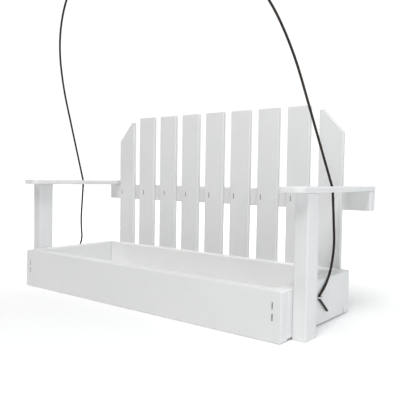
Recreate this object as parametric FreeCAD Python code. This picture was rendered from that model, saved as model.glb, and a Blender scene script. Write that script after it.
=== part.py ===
import FreeCAD, Part
import math
import os

# Hanging wildlife tray in the shape of a porch swing: a shallow box of boards for the seat,
# nine upright slats for the back, two armrests on posts, and a bent wire hanger.
# Millimetres, +Z up, front of the seat towards -Y.
# Origin: middle of the tray in plan, on the plane the tray stands on.

os.makedirs("parts", exist_ok=True)

# tray boards
tray_length = 355.6
tray_depth = 140.0
tray_height = 44.0
board = 12.0
end_board_clearance = 1.8
half_length = tray_length / 2

# arm posts, armrests and back rail
post_wide = 13.0
post_deep = 20.0
post_setback = 18.8
post_height = 124.5
arm_thick = 5.0
arm_inboard = 10.5
arm_outboard = 15.0
arm_front_setback = 2.5
arm_tip_radius = 8.0
arm_toe_in = 1.0
arm_shift = 1.5
rail_thick = 13.0
rail_height = 20.0
rail_length = 382.4
rail_shift = 4.4

# back slats
slat_count = 9
slat_wide = 27.0
slat_thick = 5.0
slat_pitch = 37.8
slat_shift = 2.5
slat_length = 203.2
slat_top = 215.0
outer_slat_drop = 5.5
outer_slat_flat = 5.0
outer_slat_clip = 25.0

# eased edges
ease = 1.2
corner_ease = 2.5

# wire hanger
wire_diameter = 2.3
hole_diameter = 6.0
hole_x = half_length + 2.0
hole_from_front = 89.3
arch_lean = 24.0
arch_skew = 1.85
arch_foot_tilt = 8.7
arch_straight = 106.5
arch_knee_radius = 303.0
arch_knee_tilt = 18.4
pivot_gap_above = 1.0
pivot_gap_below = 0.1
leg_setback = 1.0
leg_bow_out = 5.7
leg_bow_z = 73.0
leg_bow_radius = 120.0
leg_bend_out = 1.4
leg_bend_z = 42.5
leg_bend_radius = 28.0
v_from_front = 66.1
v_z = 28.1
v_radius = 2.4
tail_from_front = 85.6
tail_z = 12.6
touch_gap = 0.05

# staples
crown = 6.0
staple_wire = 1.2
crown_sink = 0.35
slot_gap = 0.3
slot_mouth = 0.5
wire_staple_offset = 1.8

half_depth = tray_depth / 2
front_y = -half_depth
back_y = half_depth
rail_front_y = back_y + slat_thick
rail_back_y = rail_front_y + rail_thick
rail_low = post_height - rail_height
rail_middle = post_height - rail_height / 2
arm_top = post_height + arm_thick
arm_middle = post_height + arm_thick / 2
hole_y = front_y + hole_from_front
end_inner_x = half_length - board
post_front_y = front_y + post_setback
post_middle_y = post_front_y + post_deep / 2
post_middle_x = half_length + post_wide / 2
slat_low = slat_top - slat_length
wire_radius = wire_diameter / 2


def vec(x, y, z):
    return FreeCAD.Vector(x, y, z)


def box(x0, x1, y0, y1, z0, z1):
    return Part.makeBox(x1 - x0, y1 - y0, z1 - z0, vec(x0, y0, z0))


def eased_box(x0, x1, y0, y1, z0, z1, radius=ease):
    plain = box(x0, x1, y0, y1, z0, z1)
    return plain.makeFillet(radius, plain.Edges)


def mirrored(shape):
    return shape.mirror(vec(0, 0, 0), vec(1, 0, 0))


def edges_along(shape, direction):
    chosen = []
    for edge in shape.Edges:
        run = edge.Vertexes[-1].Point - edge.Vertexes[0].Point
        if run.Length > 0 and abs(run.normalize().dot(direction)) > 0.999:
            chosen.append(edge)
    return chosen


def staple(middle, across, inward, leg, lift=0.0):
    # U of square wire: the crown lies across, the two legs point inward.
    # Sunk just under the surface, or lifted clear of it to pass over the hanger wire.
    side = inward.cross(across)
    half = crown / 2
    top = lift if lift > 0 else -crown_sink
    parts = []
    runs = [(-half, half, top - staple_wire, top)]
    runs.append((-half, -half + staple_wire, -leg, top))
    runs.append((half - staple_wire, half, -leg, top))
    for a0, a1, d0, d1 in runs:
        start = middle + across * a0 - side * (staple_wire / 2) - inward * d1
        corner = [start, start + across * (a1 - a0)]
        corner.append(corner[1] + side * staple_wire)
        corner.append(start + side * staple_wire)
        face = Part.Face(Part.makePolygon(corner + [start]))
        parts.append(face.extrude(inward * (d1 - d0)))
    return parts[0].fuse(parts[1:]).removeSplitter()


def staple_slot(middle, across, inward, leg):
    # The cut a driven staple leaves: its own shape, opened at the surface.
    side = inward.cross(across)
    length = crown + slot_gap
    width = staple_wire + slot_gap
    start = middle - across * (length / 2) - side * (width / 2) - inward * slot_mouth
    corner = [start, start + across * length]
    corner.append(corner[1] + side * width)
    corner.append(start + side * width)
    face = Part.Face(Part.makePolygon(corner + [start]))
    mouth = face.extrude(inward * (slot_mouth + crown_sink))
    return staple(middle, across, inward, leg).fuse(mouth)


def wire_tube(path, start, direction):
    # Round wire swept along straight runs and tangent arcs.
    circle = Part.Circle(start, direction, wire_radius)
    profile = Part.Wire([circle.toShape()])
    return Part.Wire(path).makePipeShell([profile], True, False)


def rounded_path(points, radii):
    # Straight runs joined by tangent arcs at the inner points.
    edges = []
    start = points[0]
    for i in range(1, len(points) - 1):
        before = (points[i - 1] - points[i]).normalize()
        after = (points[i + 1] - points[i]).normalize()
        half_angle = before.getAngle(after) / 2
        setback = radii[i - 1] / math.tan(half_angle)
        entry = points[i] + before * setback
        leave = points[i] + after * setback
        bisector = (before + after).normalize()
        centre = points[i] + bisector * (radii[i - 1] / math.sin(half_angle))
        middle = centre - bisector * radii[i - 1]
        edges.append(Part.LineSegment(start, entry).toShape())
        edges.append(Part.Arc(entry, middle, leave).toShape())
        start = leave
    edges.append(Part.LineSegment(start, points[-1]).toShape())
    return edges


east = vec(1, 0, 0)
north = vec(0, 1, 0)
up = vec(0, 0, 1)
west = vec(-1, 0, 0)
south = vec(0, -1, 0)
down = vec(0, 0, -1)

nodes = {}

# Tray: the front board laps the ends of the end boards, and the back board stands on the floor
# panel between them. The end boards sit a little clear of the standing plane.
front = box(-half_length, half_length, front_y, front_y + board, 0, tray_height)
front = front.makeFillet(corner_ease, edges_along(front, north))
rim = [e for e in front.Edges if abs(e.BoundBox.YMax - e.BoundBox.YMin) < 0.01]
nodes["front_board"] = front.makeFillet(ease, rim)
nodes["back_board"] = eased_box(-end_inner_x, end_inner_x, back_y - board, back_y, board, tray_height)
nodes["floor_panel"] = eased_box(-end_inner_x, end_inner_x, front_y + board, back_y, 0, board, 0.5)
end = eased_box(end_inner_x, half_length, front_y + board, back_y, end_board_clearance, tray_height)
nodes["end_board_right"] = end
nodes["end_board_left"] = mirrored(end)

# Arm posts on the outer faces of the end boards, from the ground to the armrests.
post = eased_box(half_length, half_length + post_wide, post_front_y, post_front_y + post_deep, 0, post_height)
nodes["arm_post_right"] = post
nodes["arm_post_left"] = mirrored(post)

# Armrests: flat strips with rounded front corners and a hole for the hanger wire. They toe in a
# little towards the front, and the pair sits slightly to the right of the tray.
arm_x0 = half_length - arm_inboard
arm_x1 = half_length + arm_outboard
arm = box(arm_x0, arm_x1, front_y + arm_front_setback, rail_back_y, post_height, arm_top)
tips = [e for e in edges_along(arm, up) if e.BoundBox.YMax < front_y + arm_front_setback + 0.1]
arm = arm.makeFillet(arm_tip_radius, tips)
rim = [e for e in arm.Edges if abs(e.BoundBox.ZMax - e.BoundBox.ZMin) < 0.01]
arm = arm.makeFillet(ease, rim)
arm.rotate(vec(hole_x, hole_y, 0), up, -arm_toe_in)
for name, strip, x in (("armrest_right", arm, hole_x), ("armrest_left", mirrored(arm), -hole_x)):
    strip.translate(vec(arm_shift, 0, 0))
    hole = Part.makeCylinder(hole_diameter / 2, arm_thick + 2, vec(x, hole_y, post_height - 1), up)
    nodes[name] = strip.cut(hole)

# Back rail behind the slats, under the armrests' rear ends.
rail_x0 = rail_shift - rail_length / 2
rail_x1 = rail_shift + rail_length / 2
nodes["back_rail"] = eased_box(rail_x0, rail_x1, rail_front_y, rail_back_y, rail_low, post_height)

# Back slats: seven square-topped ones between two shorter ones with clipped outer corners.
slat_middles = []
for i in range(slat_count):
    slat_middles.append(slat_shift + (i - (slat_count - 1) / 2) * slat_pitch)
for i in range(slat_count):
    x = slat_middles[i]
    x0 = x - slat_wide / 2
    x1 = x + slat_wide / 2
    if i in (0, slat_count - 1):
        top = slat_top - outer_slat_drop
        inner = slat_wide / 2 - outer_slat_flat
        outline = [(-slat_wide / 2, slat_low), (slat_wide / 2, slat_low), (slat_wide / 2, top)]
        outline += [(inner, top), (-slat_wide / 2, top - outer_slat_clip)]
        if i > 0:
            outline = [(-a, b) for a, b in outline]
        corners = [vec(x + a, back_y, b) for a, b in outline]
        face = Part.Face(Part.makePolygon(corners + [corners[0]]))
        slat = face.extrude(vec(0, slat_thick, 0))
    else:
        slat = box(x0, x1, back_y, back_y + slat_thick, slat_low, slat_top)
    nodes["back_slat_%d" % (i + 1)] = slat.makeFillet(ease, slat.Edges)

# Hanger arch: one bent wire in a plane that leans forward, resting on the rims of the armrest
# holes. Each side has a straight foot, a long easy knee and an arc to the crest. The arch is bent
# slightly askew, so its left side tilts in more than its right side.
lean = math.radians(arch_lean)


def on_arch(x, s):
    return vec(x, hole_y - s * math.sin(lean), arm_middle + s * math.cos(lean))


def arch_side(tilt_change):
    # Foot, knee start, knee middle, knee end and end tilt of one side, as (inward of the hole, up).
    low = math.radians(arch_foot_tilt + tilt_change)
    high = math.radians(arch_knee_tilt + tilt_change)
    points = []
    for up_by in (pivot_gap_above, arch_straight):
        points.append((up_by * math.tan(low), up_by))
    centre_x = points[1][0] + arch_knee_radius * math.cos(low)
    centre_s = points[1][1] - arch_knee_radius * math.sin(low)
    for angle in ((low + high) / 2, high):
        x = centre_x - arch_knee_radius * math.cos(angle)
        points.append((x, centre_s + arch_knee_radius * math.sin(angle)))
    return points, high


left, left_tilt = arch_side(arch_skew)
right, right_tilt = arch_side(-arch_skew)
left = [(-hole_x + x, s) for x, s in left]
right = [(hole_x - x, s) for x, s in right]
# The two crest arcs have radii that let them meet level at the same height.
span = right[3][0] - left[3][0]
rise = right[3][1] - left[3][1]
left_rise = 1 - math.sin(left_tilt)
right_rise = 1 - math.sin(right_tilt)
shared = math.cos(left_tilt) * right_rise + math.cos(right_tilt) * left_rise
left_radius = (span * right_rise + rise * math.cos(right_tilt)) / shared
right_radius = (span * left_rise - rise * math.cos(left_tilt)) / shared
crest = (left[3][0] + left_radius * math.cos(left_tilt), left[3][1] + left_radius * left_rise)


def crest_middle(radius, tilt, side):
    angle = (tilt + math.pi / 2) / 2
    return (crest[0] + side * radius * math.cos(angle), crest[1] - radius * (1 - math.sin(angle)))


left_middle = crest_middle(left_radius, left_tilt, -1)
right_middle = crest_middle(right_radius, right_tilt, 1)
path = [Part.LineSegment(on_arch(*left[0]), on_arch(*left[1])).toShape()]
path.append(Part.Arc(on_arch(*left[1]), on_arch(*left[2]), on_arch(*left[3])).toShape())
path.append(Part.Arc(on_arch(*left[3]), on_arch(*left_middle), on_arch(*crest)).toShape())
path.append(Part.Arc(on_arch(*crest), on_arch(*right_middle), on_arch(*right[3])).toShape())
path.append(Part.Arc(on_arch(*right[3]), on_arch(*right[2]), on_arch(*right[1])).toShape())
path.append(Part.LineSegment(on_arch(*right[1]), on_arch(*right[0])).toShape())
nodes["hanger_arch"] = wire_tube(path, on_arch(*left[0]), on_arch(*left[1]) - on_arch(*left[0]))

# Hanger legs: below the armrests the wire bows outwards, sweeps forward down the end board into a
# sharp V under a staple, and ends in a short tail.
v_y = front_y + v_from_front
flat_on_board = wire_radius + touch_gap
leg_y = hole_y - leg_setback
leg_points = [vec(hole_x, leg_y + 0.8 * leg_setback, arm_middle - pivot_gap_below)]
leg_points.append(vec(half_length + leg_bow_out, leg_y, leg_bow_z))
leg_points.append(vec(half_length + leg_bend_out, leg_y, leg_bend_z))
leg_points.append(vec(half_length + flat_on_board, v_y, v_z))
leg_points.append(vec(half_length + flat_on_board, front_y + tail_from_front, tail_z))
leg_path = rounded_path(leg_points, [leg_bow_radius, leg_bend_radius, v_radius])
leg = wire_tube(leg_path, leg_points[0], leg_points[1] - leg_points[0])
nodes["hanger_leg_right"] = leg
nodes["hanger_leg_left"] = mirrored(leg)

# Staples, as (middle of the crown on the surface, crown direction, driving direction, leg).
front_staples = []
for x, z in ((169.2, 31.0), (169.2, 21.3), (-169.8, 28.7), (-169.8, 19.6)):
    front_staples.append((vec(x, front_y, z), up, north, 25.0))
rail_staples = []
foot_staples = []
# Driven by hand, so each is off its slat's middle by its own amount.
rail_staple_offsets = (-9.0, -5.0, -5.0, -6.5, -7.0, -8.0, -8.5, -8.0, 5.0)
for x, offset in zip(slat_middles, rail_staple_offsets):
    rail_staples.append((vec(x + offset, back_y, rail_middle), up, north, 14.0))
    foot_staples.append((vec(x, back_y + slat_thick, 32.0), up, south, 14.0))
floor_staples = []
for y in (post_middle_y, 56.6):
    floor_staples.append((vec(half_length, y, 4.9), up, west, 20.0))
    floor_staples.append((vec(-half_length, y, 4.9), up, east, 20.0))
for x in (-120.0, 0.0, 120.0):
    floor_staples.append((vec(x, back_y - board / 2, 0), east, up, 20.0))
post_staples = []
for z in (20.0, 34.0):
    post_staples.append((vec(end_inner_x, post_middle_y, z), up, east, 20.0))
    post_staples.append((vec(-end_inner_x, post_middle_y, z), up, west, 20.0))
arm_staples = []
rail_line_y = (rail_front_y + rail_back_y) / 2
for side in (-1, 1):
    arm_staples.append((vec(side * post_middle_x, post_middle_y, arm_top), north, down, 16.0))
    arm_staples.append((vec(side * half_length, rail_line_y, arm_top), east, down, 16.0))
wire_staples = []
wire_lift = flat_on_board + wire_radius + touch_gap + staple_wire
v_side_y = v_y + wire_staple_offset
for side in (-1, 1):
    inward = vec(-side, 0, 0)
    wire_staples.append((vec(side * half_length, v_side_y, v_z), north, inward, 10.0))

driven = {
    "front_board_staples": (front_staples, ["front_board", "end_board_left", "end_board_right"]),
    "rail_staples": (rail_staples, ["back_rail"]),
    "slat_foot_staples": (foot_staples, ["back_board"]),
    "floor_staples": (floor_staples, ["floor_panel", "back_board", "end_board_left", "end_board_right"]),
    "post_staples": (post_staples, ["end_board_left", "end_board_right", "arm_post_left", "arm_post_right"]),
    "armrest_staples": (arm_staples, ["armrest_left", "armrest_right", "arm_post_left", "arm_post_right",
                                      "back_rail"]),
}
all_slats = ["back_slat_%d" % (i + 1) for i in range(slat_count)]
for name in driven:
    places, hosts = driven[name]
    group = [staple(*place) for place in places]
    slots = [staple_slot(*place) for place in places]
    if name in ("rail_staples", "slat_foot_staples"):
        hosts = hosts + all_slats
    for host in hosts:
        near = [s for s in slots if s.BoundBox.intersect(nodes[host].BoundBox)]
        if near:
            nodes[host] = nodes[host].cut(near)
    nodes[name] = Part.makeCompound(group)

group = [staple(*place, lift=wire_lift) for place in wire_staples]
for host in ("end_board_left", "end_board_right"):
    near = [s for s in group if s.BoundBox.intersect(nodes[host].BoundBox)]
    nodes[host] = nodes[host].cut(near)
nodes["wire_staples"] = Part.makeCompound(group)

for name in nodes:
    nodes[name].exportStep("parts/%s.step" % name)
    print(name, len(nodes[name].Solids), nodes[name].isValid(), round(nodes[name].Volume, 1))
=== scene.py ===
import bpy
import bmesh
import math
from mathutils import Matrix, Vector

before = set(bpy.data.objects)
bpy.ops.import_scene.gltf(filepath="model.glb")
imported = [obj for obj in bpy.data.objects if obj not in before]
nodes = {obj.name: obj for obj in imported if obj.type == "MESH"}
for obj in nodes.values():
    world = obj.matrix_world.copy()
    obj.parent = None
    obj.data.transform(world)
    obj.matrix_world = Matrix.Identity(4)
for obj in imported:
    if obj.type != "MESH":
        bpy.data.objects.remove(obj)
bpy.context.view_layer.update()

# Hanging tray in the shape of a porch swing seat. Metres, in the CAD frame: -Y is the open front,
# +Z is up, and the origin is the middle of the tray's foot.

# camera
# Standing in front of the right-hand end, a little above the armrests, looking slightly down.
camera_place = Vector((0.38664, -0.44542, 0.13553))
camera_yaw = math.radians(38.128)
camera_pitch = math.radians(2.422)
camera_roll = math.radians(0.934)
camera_lens = 47.37

forward = Vector((-math.sin(camera_yaw) * math.cos(camera_pitch),
                  math.cos(camera_yaw) * math.cos(camera_pitch),
                  -math.sin(camera_pitch)))
level_right = Vector((math.cos(camera_yaw), math.sin(camera_yaw), 0.0))
level_up = level_right.cross(forward)
right = math.cos(camera_roll) * level_right + math.sin(camera_roll) * level_up
above = -math.sin(camera_roll) * level_right + math.cos(camera_roll) * level_up

camera_data = bpy.data.cameras.new("camera")
camera_data.sensor_width = 36.0
camera_data.lens = camera_lens
camera_data.clip_start = 0.01
camera = bpy.data.objects.new("camera", camera_data)
camera.matrix_world = Matrix((
    (right.x, above.x, -forward.x, camera_place.x),
    (right.y, above.y, -forward.y, camera_place.y),
    (right.z, above.z, -forward.z, camera_place.z),
    (0.0, 0.0, 0.0, 1.0)))
bpy.context.scene.collection.objects.link(camera)
bpy.context.scene.camera = camera


# material helpers
def new_material(name):
    material = bpy.data.materials.new(name)
    material.use_nodes = True
    tree = material.node_tree
    tree.nodes.clear()
    output = tree.nodes.new("ShaderNodeOutputMaterial")
    shader = tree.nodes.new("ShaderNodeBsdfPrincipled")
    tree.links.new(shader.outputs["BSDF"], output.inputs["Surface"])
    return material, tree, shader


def object_coordinates(tree, stretch, shift):
    # Object coordinates, stretched along the board and shifted so that no two boards match.
    place = tree.nodes.new("ShaderNodeTexCoord")
    mapping = tree.nodes.new("ShaderNodeMapping")
    mapping.inputs["Scale"].default_value = stretch
    mapping.inputs["Location"].default_value = shift
    tree.links.new(place.outputs["Object"], mapping.inputs["Vector"])
    return mapping.outputs["Vector"]


def noise(tree, vector, scale, detail, roughness, distortion=0.0):
    node = tree.nodes.new("ShaderNodeTexNoise")
    node.inputs["Scale"].default_value = scale
    node.inputs["Detail"].default_value = detail
    node.inputs["Roughness"].default_value = roughness
    node.inputs["Distortion"].default_value = distortion
    tree.links.new(vector, node.inputs["Vector"])
    return node.outputs["Fac"]


def spread(tree, value, low, high, to_low, to_high):
    node = tree.nodes.new("ShaderNodeMapRange")
    node.inputs["From Min"].default_value = low
    node.inputs["From Max"].default_value = high
    node.inputs["To Min"].default_value = to_low
    node.inputs["To Max"].default_value = to_high
    tree.links.new(value, node.inputs["Value"])
    return node.outputs["Result"]


def maths(tree, operation, first, second):
    node = tree.nodes.new("ShaderNodeMath")
    node.operation = operation
    for socket, value in zip(node.inputs, (first, second)):
        if isinstance(value, (int, float)):
            socket.default_value = value
        else:
            tree.links.new(value, socket)
    return node.outputs[0]


def mix_colour(tree, amount, first, second):
    node = tree.nodes.new("ShaderNodeMix")
    node.data_type = "RGBA"
    sockets = [node.inputs[label] for label in ("Factor", "A", "B")]
    for socket, value in zip(sockets, (amount, first, second)):
        if isinstance(value, (int, float)):
            socket.default_value = value
        elif isinstance(value, tuple):
            socket.default_value = value + (1.0,)
        else:
            tree.links.new(value, socket)
    return node.outputs["Result"]


def bump(tree, height, distance, strength, under=None):
    node = tree.nodes.new("ShaderNodeBump")
    node.inputs["Distance"].default_value = distance
    node.inputs["Strength"].default_value = strength
    tree.links.new(height, node.inputs["Height"])
    if under is not None:
        tree.links.new(under, node.inputs["Normal"])
    return node.outputs["Normal"]


def edge_mask(tree, radius):
    # 0 on flat faces, rising to 1 on eased edges and corners.
    bevel = tree.nodes.new("ShaderNodeBevel")
    bevel.samples = 6
    bevel.inputs["Radius"].default_value = radius
    geometry = tree.nodes.new("ShaderNodeNewGeometry")
    dot = tree.nodes.new("ShaderNodeVectorMath")
    dot.operation = "DOT_PRODUCT"
    tree.links.new(bevel.outputs["Normal"], dot.inputs[0])
    tree.links.new(geometry.outputs["True Normal"], dot.inputs[1])
    return spread(tree, dot.outputs["Value"], 0.995, 0.90, 0.0, 1.0)


# materials
board_white = 0.79
def board_material(name, along, seed, painted_lift):
    # White satin board: faint rolled streaks along its length, a fine pebbled coat, sawn ends,
    # and rubbed, slightly grey edges.
    material, tree, shader = new_material(name)
    shift = (seed * 1.37, seed * 0.73 + 0.4, seed * 2.11 + 0.9)
    stretch = [14.0, 14.0, 14.0]
    stretch["XYZ".index(along)] = 1.0
    streak_place = object_coordinates(tree, tuple(stretch), shift)
    even_place = object_coordinates(tree, (1.0, 1.0, 1.0), shift)

    cloud = noise(tree, even_place, 16.0, 4.0, 0.6)
    streak = noise(tree, streak_place, 22.0, 5.0, 0.62, 0.3)
    fine_streak = noise(tree, streak_place, 95.0, 2.0, 0.5)
    speck = noise(tree, even_place, 620.0, 2.0, 0.7)
    pebble = noise(tree, even_place, 900.0, 2.0, 0.5)
    edge = edge_mask(tree, 0.0016)
    patches = spread(tree, noise(tree, even_place, 140.0, 4.0, 0.7), 0.40, 0.68, 0.15, 1.0)
    worn = maths(tree, "MULTIPLY", edge, patches)

    # The board's white, raised by painted light for the boards inside the tray.
    bright = board_white + painted_lift
    clean = (bright, bright, bright - 0.004)
    cool = (bright - 0.035, bright - 0.032, bright - 0.026)
    warm = (bright - 0.010, bright - 0.016, bright - 0.036)
    grey = (0.60, 0.60, 0.59)
    mark = (0.62, 0.60, 0.56)
    colour = mix_colour(tree, spread(tree, cloud, 0.35, 0.70, 0.0, 0.8), clean, cool)
    colour = mix_colour(tree, spread(tree, streak, 0.48, 0.78, 0.0, 0.75), colour, warm)
    colour = mix_colour(tree, spread(tree, speck, 0.74, 0.80, 0.0, 0.45), colour, mark)
    colour = mix_colour(tree, maths(tree, "MULTIPLY", worn, 0.15), colour, grey)
    tree.links.new(colour, shader.inputs["Base Color"])

    rough = spread(tree, cloud, 0.3, 0.7, 0.40, 0.50)
    rough = maths(tree, "ADD", rough, spread(tree, fine_streak, 0.3, 0.7, -0.04, 0.06))
    rough = maths(tree, "ADD", rough, maths(tree, "MULTIPLY", worn, 0.12))
    tree.links.new(rough, shader.inputs["Roughness"])
    shader.inputs["Specular IOR Level"].default_value = 0.42

    normal = bump(tree, pebble, 0.00005, 0.35)
    normal = bump(tree, fine_streak, 0.00012, 0.5, normal)
    normal = bump(tree, streak, 0.0005, 0.22, normal)
    tree.links.new(normal, shader.inputs["Normal"])
    return material


def wire_material():
    # Stiff steel wire in a dark brown coat, with faint rings, dull rubs and a few scuffs.
    material, tree, shader = new_material("coated_wire_finish")
    even_place = object_coordinates(tree, (1.0, 1.0, 1.0), (0.3, 0.7, 0.1))
    cloud = noise(tree, even_place, 45.0, 4.0, 0.6)
    scuff = noise(tree, even_place, 320.0, 5.0, 0.75, 0.4)
    grain = noise(tree, even_place, 1500.0, 2.0, 0.6)
    dark = (0.012, 0.009, 0.0075)
    brown = (0.038, 0.026, 0.020)
    rubbed = (0.110, 0.084, 0.066)
    colour = mix_colour(tree, spread(tree, cloud, 0.3, 0.7, 0.0, 1.0), dark, brown)
    colour = mix_colour(tree, spread(tree, scuff, 0.66, 0.74, 0.0, 0.7), colour, rubbed)
    tree.links.new(colour, shader.inputs["Base Color"])
    rough = spread(tree, cloud, 0.3, 0.7, 0.38, 0.52)
    rough = maths(tree, "ADD", rough, spread(tree, scuff, 0.6, 0.75, 0.0, 0.2))
    tree.links.new(rough, shader.inputs["Roughness"])
    shader.inputs["Specular IOR Level"].default_value = 0.22
    normal = bump(tree, grain, 0.00004, 0.5)
    normal = bump(tree, scuff, 0.0001, 0.4, normal)
    tree.links.new(normal, shader.inputs["Normal"])
    return material


def staple_material(name, fresh, dull, metallic):
    # Galvanised staple wire, spotted where the weather has reached it.
    material, tree, shader = new_material(name)
    even_place = object_coordinates(tree, (1.0, 1.0, 1.0), (0.9, 0.2, 0.5))
    cloud = noise(tree, even_place, 260.0, 4.0, 0.7)
    line = noise(tree, even_place, 1800.0, 2.0, 0.5)
    colour = mix_colour(tree, spread(tree, cloud, 0.35, 0.65, 0.0, 1.0), fresh, dull)
    tree.links.new(colour, shader.inputs["Base Color"])
    shader.inputs["Metallic"].default_value = metallic
    tree.links.new(spread(tree, cloud, 0.3, 0.7, 0.38, 0.62), shader.inputs["Roughness"])
    tree.links.new(bump(tree, line, 0.00003, 0.6), shader.inputs["Normal"])
    return material


boards = [
    ("front_board", "X"), ("back_board", "X"), ("floor_panel", "X"),
    ("end_board_left", "Y"), ("end_board_right", "Y"),
    ("arm_post_left", "Z"), ("arm_post_right", "Z"),
    ("armrest_left", "Y"), ("armrest_right", "Y"),
    ("back_rail", "X"),
]
boards += [("back_slat_%d" % (i + 1), "Z") for i in range(9)]


def assign(node, material):
    data = nodes[node].data
    for i in range(len(data.materials)):
        data.materials[i] = material
    if not data.materials:
        data.materials.append(material)


# The boards inside the tray are painted a little whiter: painted light, standing in for the light they
# don't get here.
tray_inside_painted_light = 0.08
for seed, (node, along) in enumerate(boards):
    painted_lift = tray_inside_painted_light if node in ("back_board", "floor_panel") else 0.0
    assign(node, board_material("white_" + node, along, seed + 1, painted_lift))

wire = wire_material()
steel = staple_material("staple_finish", (0.42, 0.42, 0.43), (0.20, 0.18, 0.17), 0.85)
# The staples over the wire get a brighter, less metallic copy of the same steel: partly the crowns'
# bright zinc, partly painted light, so they read light although the metal mirrors the dim room.
painted_light_steel = staple_material("wire_staple_painted_light", (0.80, 0.80, 0.80), (0.60, 0.59, 0.57), 0.35)
for node in nodes:
    if node.startswith("hanger"):
        assign(node, wire)
    if node.endswith("staples"):
        assign(node, painted_light_steel if node.startswith("wire") else steel)

# stage
# The floor's own glow: faint near the object, as painted light lifting the shade there, full white far
# off.
painted_light_near = 0.05
glow_far = 1.0
floor_radius = 6.0
backdrop_side = Vector((-0.617, 0.787, 0.0))
floor_mesh = bpy.data.meshes.new("floor")
build = bmesh.new()
bmesh.ops.create_circle(build, cap_ends=True, radius=floor_radius, segments=64)
build.to_mesh(floor_mesh)
build.free()
floor = bpy.data.objects.new("floor", floor_mesh)
bpy.context.scene.collection.objects.link(floor)
floor_material, floor_tree, floor_shader = new_material("floor")
floor_shader.inputs["Base Color"].default_value = (0.93, 0.93, 0.93, 1.0)
floor_shader.inputs["Roughness"].default_value = 0.8
# A glowing floor: faint under the object, where the glow is painted light lifting the shade around it,
# rising to the backdrop's own white behind it.
floor_place = floor_tree.nodes.new("ShaderNodeTexCoord")
floor_reach = floor_tree.nodes.new("ShaderNodeVectorMath")
floor_reach.operation = "DOT_PRODUCT"
floor_reach.inputs[1].default_value = backdrop_side
floor_tree.links.new(floor_place.outputs["Object"], floor_reach.inputs[0])
floor_glow_and_painted_light = spread(floor_tree, floor_reach.outputs["Value"], -0.10, 0.70, painted_light_near, glow_far)
floor_glow_and_painted_light.node.interpolation_type = "SMOOTHSTEP"
floor_shader.inputs["Emission Color"].default_value = (1.0, 1.0, 1.0, 1.0)
floor_tree.links.new(floor_glow_and_painted_light, floor_shader.inputs["Emission Strength"])
floor_mesh.materials.append(floor_material)

# light
# A white studio: a bright backdrop behind the object, a dimmer room elsewhere, a soft high light
# in front, a harder front light that throws the armrests' shadows, and cooler light from the right.
room_level = 0.17
backdrop_level = 1.06
bpy.context.scene.view_settings.view_transform = "Standard"
world = bpy.data.worlds.new("studio")
bpy.context.scene.world = world
world.use_nodes = True
world_tree = world.node_tree
background = world_tree.nodes["Background"]
background.inputs["Color"].default_value = (1.0, 1.0, 1.0, 1.0)
sky_place = world_tree.nodes.new("ShaderNodeTexCoord")
towards_backdrop = world_tree.nodes.new("ShaderNodeVectorMath")
towards_backdrop.operation = "DOT_PRODUCT"
towards_backdrop.inputs[1].default_value = backdrop_side
world_tree.links.new(sky_place.outputs["Generated"], towards_backdrop.inputs[0])
sky_level = spread(world_tree, towards_backdrop.outputs["Value"], 0.30, 0.80, room_level, backdrop_level)
sky_level.node.interpolation_type = "SMOOTHSTEP"
world_tree.links.new(sky_level, background.inputs["Strength"])


def area_light(name, place, target, width, height, power, colour):
    data = bpy.data.lights.new(name, "AREA")
    data.shape = "RECTANGLE"
    data.size = width
    data.size_y = height
    data.energy = power
    data.color = colour
    light = bpy.data.objects.new(name, data)
    light.location = place
    light.rotation_euler = (Vector(target) - Vector(place)).to_track_quat("-Z", "Y").to_euler()
    bpy.context.scene.collection.objects.link(light)


middle = (0.0, 0.0, 0.1)
area_light("high_soft", (0.35, -0.55, 1.50), middle, 0.80, 0.80, 13.0, (1.0, 1.0, 0.985))
area_light("front_hard", (0.40, -1.10, 1.30), middle, 0.35, 0.35, 5.0, (1.0, 1.0, 0.985))
area_light("low_right", (1.00, -0.55, 0.35), middle, 0.60, 0.50, 2.4, (0.88, 0.94, 1.0))
area_light("side_right", (1.30, 0.20, 0.90), middle, 0.70, 0.70, 3.0, (0.86, 0.93, 1.0))
